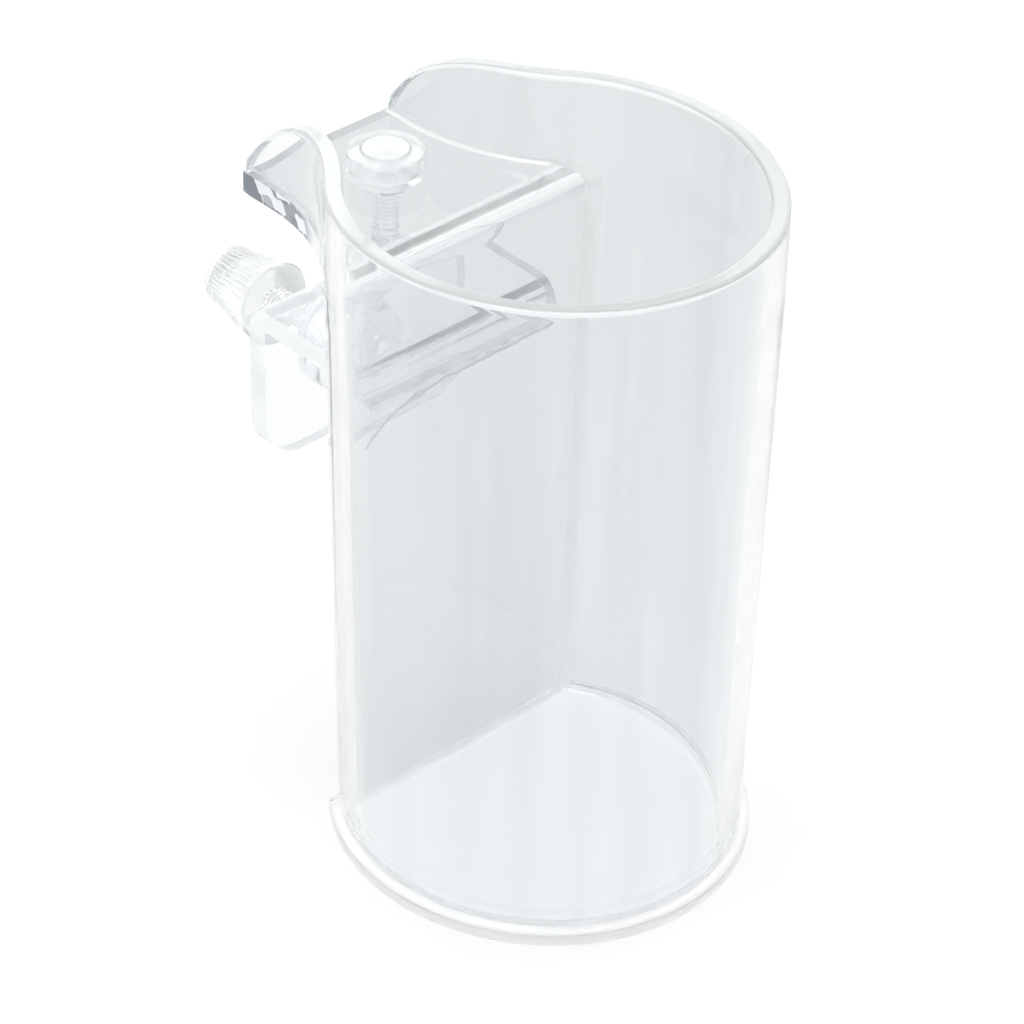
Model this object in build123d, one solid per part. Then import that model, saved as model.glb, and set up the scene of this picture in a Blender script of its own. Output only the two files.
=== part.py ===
from build123d import *
import math
import os

# Clear acrylic hang-on cup with a flat back, a rear flange and a two-screw wall clamp.
# Millimetres. X runs along the flat back plate, +Y points behind it and +Z is up.
# The origin is the centre of the round bowl, on the underside of the base plate.

# ---------------------------------------------------------------- driving dimensions
RIM_HALF_WIDTH = 46.0        # outer half width of the bowl at the rim, along X
DEPTH_RATIO = 1.05           # the bowl is a little deeper along Y than it is wide
FOOT_RATIO = 0.947           # the moulded wall draws in towards its foot
WALL = 4.0                   # thickness of the curved wall
HEIGHT = 162.0               # base underside to rim

SHEET = 5.0                  # thickness of the back plate, the flange and the clamp bracket
PLATE_FRONT = 25.3           # front face of the back plate, behind the bowl's axis
FLANGE_TOP = 140.5           # upper face of the flange
FLANGE_REAR = 72.5           # rear edge of the flange
FLANGE_HALF = 22.0           # half width of the flange at its rear
BEND_OUTER = 6.5             # outer radius of the bend between plate and flange
NECK_ANGLE = 43.1            # where the wall leaves the bowl's ellipse to form the side wings
WING_RADIUS = 34.5           # round rear corner of the side wings
WING_START = 41.0            # where that round corner leaves the level rim

BASE_THICK = 3.0
BASE_LIP = 2.2               # how far the base plate stands out round the wall
BASE_CHAMFER = 0.4

BRACKET_HALF = 27.6          # half width of the clamp bracket
BRACKET_TOP = 114.0          # upper face of its shelf
BRACKET_REAR = 64.4          # rear face of its leg
FLAP_BOTTOM = 106.0          # lower edge of the flap cemented to the back plate
LEG_BOTTOM = 74.5
BRACKET_BEND = 5.6           # outer bend radius of the bracket
LEG_CORNER = 10.0            # rounded lower corners of the leg
FLAP_CORNER = 2.0            # rounded lower corners of the flap

CLAMP_Z = 90.0               # height of the horizontal clamp screw
BOSS_RADIUS = 10.0
BOSS_LENGTH = 8.4
BOSS_ROUND = 0.8
STUD_RADIUS = 4.0            # M8 clamp screw
RUNNING_GAP = 0.05           # radial clearance of a screw in its hole
STUD_TIP = 56.0              # front end of the clamp screw as it stands in the leg
TIP_CHAMFER = 0.8
FACE_GAP = 0.2               # gap between faces that turn or slide past each other
KNOB_FRONT = 89.2
KNOB_REAR = 105.6
KNOB_FRONT_RADIUS = 9.5
KNOB_REAR_RADIUS = 7.1
KNOB_FRONT_CHAMFER = 0.5
KNOB_REAR_CHAMFER = 1.0
KNURLS = 36
KNURL_DEPTH = 0.55
KNOB_BAND = 1.6              # plain band at each end of the knurling
SOCKET_FLOOR = 4.0           # solid end of the knob, behind the screw's socket

TOP_Y = 52.0                 # axis of the vertical screw, in the middle of the flange
COLLAR_RADIUS = 8.5
COLLAR_HEIGHT = 6.0
COLLAR_FLOOR = 1.2
COLLAR_ROUND = 0.8
HEAD_RADIUS = 5.2
HEAD_CHAMFER = 0.5
HEAD_RISE = 0.6              # the screw's head stands this far above the collar's rim
TOP_STUD_RADIUS = 3.0        # M6 vertical screw
TOP_STUD_TIP = 120.5         # lower end of the vertical screw, above the bracket's shelf

BEAD = 1.1                   # leg of a cement fillet
FOOT_BEAD_RISE = 0.55        # height of the low beads round the wall's foot
WING_BEAD_WIDTH = 0.8
WING_BEAD_RISE = 0.6
CORNER_BEAD = 1.6            # leg of the upright fillets between wall and back plate
FLAP_BEAD = 2.4              # leg of the thick fillet under the bracket's flap
BEAD_CLEARANCE = 0.1         # from the foot bead's top to the upright fillets
EDGE_TOLERANCE = 0.01

PLATE_REAR = PLATE_FRONT + SHEET
BOWL = (RIM_HALF_WIDTH, RIM_HALF_WIDTH * DEPTH_RATIO)
FOOT = (BOWL[0] * FOOT_RATIO, BOWL[1] * FOOT_RATIO)


# ---------------------------------------------------------------- helpers
def bowl_solid(inset, z_low, z_high):
    """Tapered elliptical bowl, drawn in by inset, between two heights."""
    sections = []
    for z in (z_low, z_high):
        share = min(1.0, (z - BASE_THICK) / (FLANGE_TOP - BASE_THICK))
        a = FOOT[0] + (BOWL[0] - FOOT[0]) * share - inset
        b = FOOT[1] + (BOWL[1] - FOOT[1]) * share - inset
        sections.append(Plane.XY.offset(z) * Ellipse(a, b))
    return loft(sections)


def wing_outline(inset, rear):
    """Plan of the bowl and its two wings: ellipse, reversed arcs, straight sides."""
    a = BOWL[0] - inset
    b = BOWL[1] - inset
    half = FLANGE_HALF - inset
    turn = math.radians(NECK_ANGLE)
    x_neck = a * math.cos(turn)
    y_neck = b * math.sin(turn)
    lean = math.atan2(a * math.sin(turn), b * math.cos(turn))
    radius = (x_neck - half) / (1 - math.cos(lean))
    y_straight = y_neck + radius * math.sin(lean)
    front = EllipticalCenterArc((0, 0), a, b, 180 - NECK_ANGLE, arc_size=180 + 2 * NECK_ANGLE)
    edges = [front]
    for side in (-1, 1):
        neck = (side * x_neck, y_neck)
        straight = (side * half, y_straight)
        edges.append(TangentArc(neck, straight, tangent=(-side * math.sin(lean), math.cos(lean))))
        edges.append(Line(straight, (side * half, rear)))
    edges.append(Line((-half, rear), (half, rear)))
    return make_face(Wire(edges))


def side_profile(points_and_arcs):
    """Face in the YZ plane from a closed chain of edges drawn as (y, z)."""
    return Plane.YZ * make_face(Wire(points_and_arcs))


def both_sides(face, half):
    """Solid of a YZ face, extruded to the same distance each side of X = 0."""
    return extrude(face, amount=half, both=True)


def rod(radius, start, end, axis="Y", y=0.0, z=0.0):
    """Round rod between two stations along Y or Z."""
    if axis == "Y":
        plane = Plane(origin=(0, start, z), x_dir=(1, 0, 0), z_dir=(0, 1, 0))
    else:
        plane = Plane(origin=(0, y, start), x_dir=(1, 0, 0), z_dir=(0, 0, 1))
    return extrude(plane * Circle(radius), amount=end - start)


# ---------------------------------------------------------------- back plate and flange
def bent_sheet():
    """One sheet that stands on the base plate and bends back into the flange."""
    inner = BEND_OUTER - SHEET
    z_bend = FLANGE_TOP - BEND_OUTER
    y_bend = PLATE_FRONT + BEND_OUTER
    outer_mid = BEND_OUTER * math.sqrt(0.5)
    inner_mid = inner * math.sqrt(0.5)
    edges = [
        Line((PLATE_FRONT, BASE_THICK), (PLATE_FRONT, z_bend)),
        ThreePointArc((PLATE_FRONT, z_bend), (y_bend - outer_mid, z_bend + outer_mid),
                      (y_bend, FLANGE_TOP)),
        Line((y_bend, FLANGE_TOP), (FLANGE_REAR, FLANGE_TOP)),
        Line((FLANGE_REAR, FLANGE_TOP), (FLANGE_REAR, FLANGE_TOP - SHEET)),
        Line((FLANGE_REAR, FLANGE_TOP - SHEET), (y_bend, FLANGE_TOP - SHEET)),
        ThreePointArc((y_bend, FLANGE_TOP - SHEET), (y_bend - inner_mid, z_bend + inner_mid),
                      (PLATE_REAR, z_bend)),
        Line((PLATE_REAR, z_bend), (PLATE_REAR, BASE_THICK)),
        Line((PLATE_REAR, BASE_THICK), (PLATE_FRONT, BASE_THICK)),
    ]
    return both_sides(side_profile(edges), BOWL[0])


z_bend_start = FLANGE_TOP - BEND_OUTER
upper_envelope = Pos(0, 0, z_bend_start) * extrude(
    wing_outline(0, FLANGE_REAR), amount=HEIGHT - z_bend_start)
lower_envelope = bowl_solid(0, BASE_THICK, FLANGE_TOP)
top_hole = rod(TOP_STUD_RADIUS + RUNNING_GAP, FLANGE_TOP - 2 * SHEET, FLANGE_TOP + SHEET,
               "Z", y=TOP_Y)
back_sheet = bent_sheet()
back_plate = (back_sheet & (lower_envelope + upper_envelope)) - top_hole


# ---------------------------------------------------------------- curved wall with side wings
def rim_limit():
    """Everything under the rim: level in front, rounded down over the wings."""
    drop = WING_RADIUS - math.sqrt(WING_RADIUS ** 2 - (FLANGE_REAR - WING_START) ** 2)
    turn = math.asin((FLANGE_REAR - WING_START) / WING_RADIUS) / 2
    middle = (WING_START + WING_RADIUS * math.sin(turn),
              HEIGHT - WING_RADIUS * (1 - math.cos(turn)))
    front = -2 * BOWL[1]
    edges = [
        Line((front, 0), (front, HEIGHT)),
        Line((front, HEIGHT), (WING_START, HEIGHT)),
        ThreePointArc((WING_START, HEIGHT), middle, (FLANGE_REAR, HEIGHT - drop)),
        Line((FLANGE_REAR, HEIGHT - drop), (FLANGE_REAR, 0)),
        Line((FLANGE_REAR, 0), (front, 0)),
    ]
    return both_sides(side_profile(edges), 2 * BOWL[0])


lower_wall = lower_envelope - bowl_solid(WALL, BASE_THICK, FLANGE_TOP)
front_room = Pos(0, PLATE_FRONT - 2 * BOWL[1], HEIGHT / 2) * Box(4 * BOWL[0], 4 * BOWL[1], 2 * HEIGHT)
wing_hollow = Pos(0, 0, z_bend_start) * extrude(
    wing_outline(WALL, FLANGE_REAR + SHEET), amount=HEIGHT - z_bend_start)
collar_band = upper_envelope - wing_hollow
above_flange = Pos(0, 0, FLANGE_TOP + HEIGHT) * Box(4 * BOWL[0], 4 * BOWL[1], 2 * HEIGHT)
bend_room = Pos(0, PLATE_FRONT + BEND_OUTER / 2, FLANGE_TOP - BEND_OUTER / 2) * Box(
    4 * BOWL[0], BEND_OUTER, BEND_OUTER)
inside_bend = Pos(0, PLATE_REAR + FLANGE_REAR / 2, FLANGE_TOP - SHEET - HEIGHT / 2) * Box(
    4 * BOWL[0], FLANGE_REAR, HEIGHT)
upper_wall = (collar_band & (above_flange + bend_room) & rim_limit()) - inside_bend
cup_wall = ((lower_wall & front_room) + upper_wall) - back_sheet


# ---------------------------------------------------------------- base plate
base_outline = Ellipse(FOOT[0] + BASE_LIP, FOOT[1] + BASE_LIP)
base_room = Pos(0, PLATE_REAR - 2 * BOWL[1], 0) * Box(4 * BOWL[0], 4 * BOWL[1], 4 * BASE_THICK)
base_plate = extrude(base_outline, amount=BASE_THICK) & base_room
base_plate = chamfer(base_plate.faces().sort_by(Axis.Z)[0].edges(), BASE_CHAMFER)


# ---------------------------------------------------------------- clamp bracket
def bracket_sheet():
    """Bent sheet: flap on the back plate, level shelf, leg that hangs behind the wall."""
    outer = BRACKET_BEND
    inner = outer - SHEET
    flap_y = PLATE_REAR + SHEET
    leg_y = BRACKET_REAR - SHEET
    low = BRACKET_TOP - SHEET
    half_out = outer * math.sqrt(0.5)
    half_in = inner * math.sqrt(0.5)
    front_c = (PLATE_REAR + outer, BRACKET_TOP - outer)
    rear_c = (BRACKET_REAR - outer, BRACKET_TOP - outer)
    edges = [
        Line((PLATE_REAR, FLAP_BOTTOM), (PLATE_REAR, front_c[1])),
        ThreePointArc((PLATE_REAR, front_c[1]), (front_c[0] - half_out, front_c[1] + half_out),
                      (front_c[0], BRACKET_TOP)),
        Line((front_c[0], BRACKET_TOP), (rear_c[0], BRACKET_TOP)),
        ThreePointArc((rear_c[0], BRACKET_TOP), (rear_c[0] + half_out, rear_c[1] + half_out),
                      (BRACKET_REAR, rear_c[1])),
        Line((BRACKET_REAR, rear_c[1]), (BRACKET_REAR, LEG_BOTTOM)),
        Line((BRACKET_REAR, LEG_BOTTOM), (leg_y, LEG_BOTTOM)),
        Line((leg_y, LEG_BOTTOM), (leg_y, rear_c[1])),
        ThreePointArc((leg_y, rear_c[1]), (rear_c[0] + half_in, rear_c[1] + half_in),
                      (rear_c[0], low)),
        Line((rear_c[0], low), (front_c[0], low)),
        ThreePointArc((front_c[0], low), (front_c[0] - half_in, front_c[1] + half_in),
                      (flap_y, front_c[1])),
        Line((flap_y, front_c[1]), (flap_y, FLAP_BOTTOM)),
        Line((flap_y, FLAP_BOTTOM), (PLATE_REAR, FLAP_BOTTOM)),
    ]
    return both_sides(side_profile(edges), BRACKET_HALF)


def low_corners(solid, z):
    """The Y-parallel edges at one height: the lower corners of a flap or leg."""
    return solid.edges().filter_by(Axis.Y).filter_by_position(
        Axis.Z, z - EDGE_TOLERANCE, z + EDGE_TOLERANCE)


clamp_bracket = bracket_sheet()
clamp_bracket = fillet(low_corners(clamp_bracket, LEG_BOTTOM), LEG_CORNER)
clamp_bracket = fillet(low_corners(clamp_bracket, FLAP_BOTTOM), FLAP_CORNER)
clamp_hole = rod(STUD_RADIUS + RUNNING_GAP, BRACKET_REAR - 2 * SHEET,
                 BRACKET_REAR + 2 * BOSS_LENGTH, z=CLAMP_Z)
clamp_bracket = clamp_bracket - clamp_hole

screw_boss = rod(BOSS_RADIUS, BRACKET_REAR, BRACKET_REAR + BOSS_LENGTH, z=CLAMP_Z)
screw_boss = fillet(screw_boss.faces().sort_by(Axis.Y)[-1].edges(), BOSS_ROUND) - clamp_hole


# ---------------------------------------------------------------- horizontal clamp screw
def knurled_outline(radius, y):
    """Closed toothed outline of the knob at one station along its axis."""
    points = []
    for k in range(2 * KNURLS):
        reach = radius if k % 2 == 0 else radius - KNURL_DEPTH
        angle = math.pi * k / KNURLS
        points.append((reach * math.cos(angle), reach * math.sin(angle)))
    plane = Plane(origin=(0, y, CLAMP_Z), x_dir=(1, 0, 0), z_dir=(0, 1, 0))
    return plane * make_face(Polyline(*points, close=True))


knurl_front = KNOB_FRONT + KNOB_BAND
knurl_rear = KNOB_REAR - KNOB_BAND
knurling = loft([knurled_outline(KNOB_FRONT_RADIUS, knurl_front),
                 knurled_outline(KNOB_REAR_RADIUS, knurl_rear)], ruled=True)
front_band = rod(KNOB_FRONT_RADIUS, KNOB_FRONT, knurl_front, z=CLAMP_Z)
front_band = chamfer(front_band.faces().sort_by(Axis.Y)[0].edges(), KNOB_FRONT_CHAMFER)
rear_band = rod(KNOB_REAR_RADIUS, knurl_rear, KNOB_REAR, z=CLAMP_Z)
rear_band = chamfer(rear_band.faces().sort_by(Axis.Y)[-1].edges(), KNOB_REAR_CHAMFER)
socket_end = KNOB_REAR - SOCKET_FLOOR
stud_socket = rod(STUD_RADIUS + RUNNING_GAP, KNOB_FRONT - SHEET, socket_end, z=CLAMP_Z)
thumb_knob = (front_band + knurling + rear_band) - stud_socket

thumb_stud = rod(STUD_RADIUS, STUD_TIP, socket_end - FACE_GAP, z=CLAMP_Z)
thumb_stud = chamfer(thumb_stud.faces().sort_by(Axis.Y)[0].edges(), TIP_CHAMFER)


# ---------------------------------------------------------------- vertical screw on the flange
collar_bottom = FLANGE_TOP + FACE_GAP
collar_top = collar_bottom + COLLAR_HEIGHT
head_top = collar_top + HEAD_RISE
head_bottom = collar_bottom + COLLAR_FLOOR
top_collar = rod(COLLAR_RADIUS, collar_bottom, collar_top, "Z", y=TOP_Y)
top_collar = fillet(top_collar.faces().sort_by(Axis.Z)[-1].edges(), COLLAR_ROUND)
head_room = rod(HEAD_RADIUS + RUNNING_GAP, head_bottom - FACE_GAP, collar_top + SHEET, "Z", y=TOP_Y)
shank_room = rod(TOP_STUD_RADIUS + RUNNING_GAP, collar_bottom - SHEET, head_bottom, "Z", y=TOP_Y)
top_collar = top_collar - head_room - shank_room

screw_head = rod(HEAD_RADIUS, head_bottom, head_top, "Z", y=TOP_Y)
screw_head = chamfer(screw_head.faces().sort_by(Axis.Z)[-1].edges(), HEAD_CHAMFER)
screw_shank = rod(TOP_STUD_RADIUS, TOP_STUD_TIP, head_bottom, "Z", y=TOP_Y)
screw_shank = chamfer(screw_shank.faces().sort_by(Axis.Z)[0].edges(), TIP_CHAMFER)
top_screw = screw_head + screw_shank


# ---------------------------------------------------------------- cement fillets
def fillet_bar(corner, leg_y, leg_z, half):
    """Three-sided bar along X in the corner between two faces."""
    y, z = corner
    edges = [
        Line((y, z), (y + leg_y, z)),
        Line((y + leg_y, z), (y, z + leg_z)),
        Line((y, z + leg_z), (y, z)),
    ]
    return both_sides(side_profile(edges), half)


inner_half = (FOOT[0] - WALL) * math.sqrt(1 - (PLATE_FRONT / (FOOT[1] - WALL)) ** 2)
plate_bead = fillet_bar((PLATE_FRONT, BASE_THICK), -BEAD, BEAD, inner_half - BEAD)

foot_face = Plane.XY.offset(BASE_THICK)
outer_ring = foot_face * (Ellipse(FOOT[0] + BEAD, FOOT[1] + BEAD) - Ellipse(FOOT[0], FOOT[1]))
inner_foot = (FOOT[0] - WALL, FOOT[1] - WALL)
inner_ring = foot_face * (Ellipse(*inner_foot) - Ellipse(inner_foot[0] - BEAD, inner_foot[1] - BEAD))
bead_room = Pos(0, PLATE_FRONT - 2 * BOWL[1] - BEAD, 0) * Box(4 * BOWL[0], 4 * BOWL[1], 4 * BASE_THICK)
outer_bead = (extrude(outer_ring, amount=FOOT_BEAD_RISE) & bead_room) - lower_envelope
inner_bead = extrude(inner_ring, amount=FOOT_BEAD_RISE) & bead_room

wing_ring = wing_outline(WALL, FLANGE_REAR) - wing_outline(WALL + WING_BEAD_WIDTH, FLANGE_REAR)
wing_strip = extrude(Plane.XY.offset(FLANGE_TOP) * wing_ring, amount=WING_BEAD_RISE)
wing_room = Pos(0, PLATE_FRONT + BEND_OUTER + BOWL[1], FLANGE_TOP) * Box(
    4 * BOWL[0], 2 * BOWL[1], 4 * WING_BEAD_RISE)
wing_beads = wing_strip & wing_room

bracket_bead = fillet_bar((PLATE_REAR, FLAP_BOTTOM), FLAP_BEAD, -FLAP_BEAD,
                          BRACKET_HALF - FLAP_CORNER)


def corner_triangle(z, side):
    """Section of an upright fillet: the corner, a point on the plate and a point on the wall."""
    share = (z - BASE_THICK) / (FLANGE_TOP - BASE_THICK)
    a = FOOT[0] + (BOWL[0] - FOOT[0]) * share - WALL
    b = FOOT[1] + (BOWL[1] - FOOT[1]) * share - WALL
    near = PLATE_FRONT - CORNER_BEAD
    corner_x = a * math.sqrt(1 - (PLATE_FRONT / b) ** 2)
    wall_x = a * math.sqrt(1 - (near / b) ** 2)
    points = [(side * corner_x, PLATE_FRONT), (side * (corner_x - CORNER_BEAD), PLATE_FRONT),
              (side * wall_x, near)]
    return Plane.XY.offset(z) * make_face(Polyline(*points, close=True))


corner_foot = BASE_THICK + BEAD + BEAD_CLEARANCE
corner_beads = Compound(children=[
    loft([corner_triangle(corner_foot, side), corner_triangle(z_bend_start, side)], ruled=True)
    for side in (-1, 1)])


# ---------------------------------------------------------------- write one file per sub-part
PARTS = {
    "cup_wall": cup_wall,
    "back_plate": back_plate,
    "base_plate": base_plate,
    "clamp_bracket": clamp_bracket,
    "screw_boss": screw_boss,
    "thumb_knob": thumb_knob,
    "thumb_stud": thumb_stud,
    "top_collar": top_collar,
    "top_screw": top_screw,
    "plate_cement": plate_bead,
    "corner_cement": corner_beads,
    "foot_cement_outer": outer_bead,
    "foot_cement_inner": inner_bead,
    "wing_cement": wing_beads,
    "bracket_cement": bracket_bead,
}

os.makedirs("parts", exist_ok=True)
for name, solid in PARTS.items():
    export_step(solid, f"parts/{name}.step")
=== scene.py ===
"""Looks of a clear acrylic hang-on cup with a two-screw clamp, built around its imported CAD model."""
import math

import bmesh
import bpy
from mathutils import Matrix, Vector, noise


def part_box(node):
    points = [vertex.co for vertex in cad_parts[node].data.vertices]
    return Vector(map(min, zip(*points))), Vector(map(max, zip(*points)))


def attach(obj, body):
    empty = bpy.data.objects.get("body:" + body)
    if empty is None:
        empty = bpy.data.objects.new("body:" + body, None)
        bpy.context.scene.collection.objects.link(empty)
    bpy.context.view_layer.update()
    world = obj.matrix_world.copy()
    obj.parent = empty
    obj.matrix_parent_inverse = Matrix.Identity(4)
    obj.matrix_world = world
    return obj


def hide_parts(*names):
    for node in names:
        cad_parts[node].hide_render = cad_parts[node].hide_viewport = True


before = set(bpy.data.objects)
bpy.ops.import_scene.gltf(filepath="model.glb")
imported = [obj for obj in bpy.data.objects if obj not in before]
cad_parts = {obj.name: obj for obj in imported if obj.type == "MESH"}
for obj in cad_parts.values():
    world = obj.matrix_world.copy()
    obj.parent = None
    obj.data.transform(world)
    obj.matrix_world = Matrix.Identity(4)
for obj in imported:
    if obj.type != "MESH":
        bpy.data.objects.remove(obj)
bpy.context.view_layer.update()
MM = 0.001


# ---------------------------------------------------------------- sizes read from the frame
def corners(node):
    """Lowest and highest corner of a CAD node."""
    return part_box(node)


wall_lo, wall_hi = corners("cup_wall")
plate_lo, plate_hi = corners("back_plate")
base_lo, base_hi = corners("base_plate")
bracket_lo, bracket_hi = corners("clamp_bracket")
boss_lo, boss_hi = corners("screw_boss")
knob_lo, knob_hi = corners("thumb_knob")
stud_lo, stud_hi = corners("thumb_stud")
collar_lo, collar_hi = corners("top_collar")
screw_lo, screw_hi = corners("top_screw")

RIM = wall_hi.z
BASE_TOP = base_hi.z
BOWL_A = wall_hi.x
BOWL_B = -wall_lo.y
FOOT_RATIO = 0.947
WALL = 4.0 * MM
SHEET = 5.0 * MM
PLATE_FRONT = plate_lo.y
PLATE_REAR = PLATE_FRONT + SHEET
FLANGE_TOP = plate_hi.z
FLANGE_REAR = plate_hi.y
FLANGE_HALF = 22.0 * MM
BEND_OUTER = 6.5 * MM
BEND_START = FLANGE_TOP - BEND_OUTER
NECK = math.radians(43.1)
WING_RADIUS = 34.5 * MM
WING_START = 41.0 * MM
CLAMP_Z = (stud_lo.z + stud_hi.z) / 2
TOP_Y = (screw_lo.y + screw_hi.y) / 2
SKIN_GAP = 0.03 * MM          # hairline between cemented pieces, so that no two faces coincide
TOLERANCE = 0.01 * MM
RUNNING_GAP = 0.05 * MM       # radial clearance of a screw in its hole
FLAP_DEPTH = 8.0 * MM         # from the bracket's shelf to the lower edge of its flap
ACRYLIC_IOR = 1.49


# ---------------------------------------------------------------- materials
def principled(name):
    """New material with one Principled shader: material, node tree, shader and output."""
    made = bpy.data.materials.new(name)
    made.use_nodes = True
    tree = made.node_tree
    tree.nodes.clear()
    out = tree.nodes.new("ShaderNodeOutputMaterial")
    shader = tree.nodes.new("ShaderNodeBsdfPrincipled")
    tree.links.new(shader.outputs["BSDF"], out.inputs["Surface"])
    return made, tree, shader, out


def speckle(tree, scale, detail, low, high, stretch=(1.0, 1.0, 1.0)):
    """Output of a noise in object space, mapped between two values."""
    coords = tree.nodes.new("ShaderNodeTexCoord")
    mapping = tree.nodes.new("ShaderNodeMapping")
    mapping.inputs["Scale"].default_value = stretch
    tree.links.new(coords.outputs["Object"], mapping.inputs["Vector"])
    grain = tree.nodes.new("ShaderNodeTexNoise")
    grain.inputs["Scale"].default_value = scale
    grain.inputs["Detail"].default_value = detail
    tree.links.new(mapping.outputs["Vector"], grain.inputs["Vector"])
    spread = tree.nodes.new("ShaderNodeMapRange")
    spread.inputs["From Min"].default_value = 0.3
    spread.inputs["From Max"].default_value = 0.7
    spread.inputs["To Min"].default_value = low
    spread.inputs["To Max"].default_value = high
    tree.links.new(grain.outputs["Fac"], spread.inputs["Value"])
    return spread.outputs["Result"]


def bumped(tree, shader, height, distance, strength):
    """Bump from a height output, in metres of relief."""
    bump = tree.nodes.new("ShaderNodeBump")
    bump.inputs["Strength"].default_value = strength
    bump.inputs["Distance"].default_value = distance
    tree.links.new(height, bump.inputs["Height"])
    tree.links.new(bump.outputs["Normal"], shader.inputs["Normal"])


def let_lamps_through(tree, shader, out, tint):
    """Shadow rays pass the clear plastic, tinted, as light does through real acrylic."""
    path = tree.nodes.new("ShaderNodeLightPath")
    clear = tree.nodes.new("ShaderNodeBsdfTransparent")
    clear.inputs["Color"].default_value = tint
    mix = tree.nodes.new("ShaderNodeMixShader")
    tree.links.new(path.outputs["Is Shadow Ray"], mix.inputs["Fac"])
    tree.links.new(shader.outputs["BSDF"], mix.inputs[1])
    tree.links.new(clear.outputs["BSDF"], mix.inputs[2])
    tree.links.new(mix.outputs["Shader"], out.inputs["Surface"])


def acrylic(name, tint, roughness, wave, shadow_tint, clarity=1.0):
    """Clear acrylic: slight tint, faint waviness of cast sheet, fine rub marks in its gloss.

    Clarity under 1 is for worked surfaces, which scatter part of the light; on the polished rim, the
    bend and the base's underside that scatter is painted light."""
    made, tree, shader, out = principled(name)
    shader.inputs["Base Color"].default_value = tint
    shader.inputs["Transmission Weight"].default_value = clarity
    shader.inputs["IOR"].default_value = ACRYLIC_IOR
    rub = speckle(tree, 60.0, 4.0, roughness * 0.5, roughness * 1.6)
    tree.links.new(rub, shader.inputs["Roughness"])
    ripple = speckle(tree, 28.0, 1.0, 0.0, 1.0, (1.0, 1.0, 0.35))
    bumped(tree, shader, ripple, wave, 1.0)
    let_lamps_through(tree, shader, out, shadow_tint)
    return made


def fused():
    """Faces cemented to another piece: light passes straight on, as the joint is solid plastic."""
    made = bpy.data.materials.new("fused_joint")
    made.use_nodes = True
    tree = made.node_tree
    tree.nodes.clear()
    out = tree.nodes.new("ShaderNodeOutputMaterial")
    clear = tree.nodes.new("ShaderNodeBsdfTransparent")
    tree.links.new(clear.outputs["BSDF"], out.inputs["Surface"])
    return made


def object_axis(tree, direction):
    """Distance along a direction, in object space."""
    coords = tree.nodes.new("ShaderNodeTexCoord")
    along = tree.nodes.new("ShaderNodeVectorMath")
    along.operation = "DOT_PRODUCT"
    along.inputs[1].default_value = direction
    tree.links.new(coords.outputs["Object"], along.inputs[0])
    return along.outputs["Value"]


def ease(tree, value, start, end):
    """Smooth step of a value from 0 at start to 1 at end."""
    share = tree.nodes.new("ShaderNodeMapRange")
    share.interpolation_type = "SMOOTHSTEP"
    share.inputs["From Min"].default_value = start
    share.inputs["From Max"].default_value = end
    tree.links.new(value, share.inputs["Value"])
    return share.outputs["Result"]


def blend_tint(tree, factor, near, far):
    """Sets a material's colour to a mix of two tints."""
    tone = tree.nodes.new("ShaderNodeMix")
    tone.data_type = "RGBA"
    tone.inputs[6].default_value = near
    tone.inputs[7].default_value = far
    tree.links.new(factor, tone.inputs["Factor"])
    tree.links.new(tone.outputs[2], tree.nodes["Principled BSDF"].inputs["Base Color"])
    return tone


def paint_wall_shade(material, near, far):
    """Tint of the curved wall with painted shade: clearer in front and on the left, darker at its far
    right, with faint painted vertical bands of light and shade.
    """
    tree = material.node_tree
    depth = ease(tree, object_axis(tree, (0.62, 0.78, 0.0)), -24 * MM, 18 * MM)
    side = ease(tree, object_axis(tree, (1.0, 0.0, 0.0)), -26 * MM, 0.0)
    both = tree.nodes.new("ShaderNodeMath")
    both.operation = "MULTIPLY"
    tree.links.new(depth, both.inputs[0])
    tree.links.new(side, both.inputs[1])
    tone = blend_tint(tree, both.outputs["Value"], near, far)
    # Fine vertical bands that scale the tint up and down: painted bands of light and shade.
    painted_light_bands = speckle(tree, 130.0, 2.0, 0.955, 1.035, (1.0, 1.0, 0.05))
    scale = tree.nodes.new("ShaderNodeVectorMath")
    scale.operation = "SCALE"
    tree.links.new(tone.outputs[2], scale.inputs[0])
    tree.links.new(painted_light_bands, scale.inputs["Scale"])
    tree.links.new(scale.outputs["Vector"], tree.nodes["Principled BSDF"].inputs["Base Color"])


def facet(material, bright, dark):
    """Saw-cut edge of the flange: dark and bright blocks that stand in for its reflections."""
    tree = material.node_tree
    coords = tree.nodes.new("ShaderNodeTexCoord")
    mapping = tree.nodes.new("ShaderNodeMapping")
    mapping.inputs["Rotation"].default_value = (0.35, 0.0, 0.0)
    mapping.inputs["Scale"].default_value = (0.0, 230.0, 330.0)
    tree.links.new(coords.outputs["Object"], mapping.inputs["Vector"])
    cells = tree.nodes.new("ShaderNodeTexVoronoi")
    cells.distance = "CHEBYCHEV"
    cells.inputs["Scale"].default_value = 1.0
    cells.inputs["Randomness"].default_value = 0.75
    tree.links.new(mapping.outputs["Vector"], cells.inputs["Vector"])
    split = tree.nodes.new("ShaderNodeSeparateColor")
    tree.links.new(cells.outputs["Color"], split.inputs["Color"])
    chosen = ease(tree, split.outputs["Red"], 0.52, 0.66)
    rear = ease(tree, object_axis(tree, (0.0, 1.0, 0.0)), 44 * MM, 52 * MM)
    both = tree.nodes.new("ShaderNodeMath")
    both.operation = "MULTIPLY"
    tree.links.new(chosen, both.inputs[0])
    tree.links.new(rear, both.inputs[1])
    blend_tint(tree, both.outputs["Value"], bright, dark)


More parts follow.
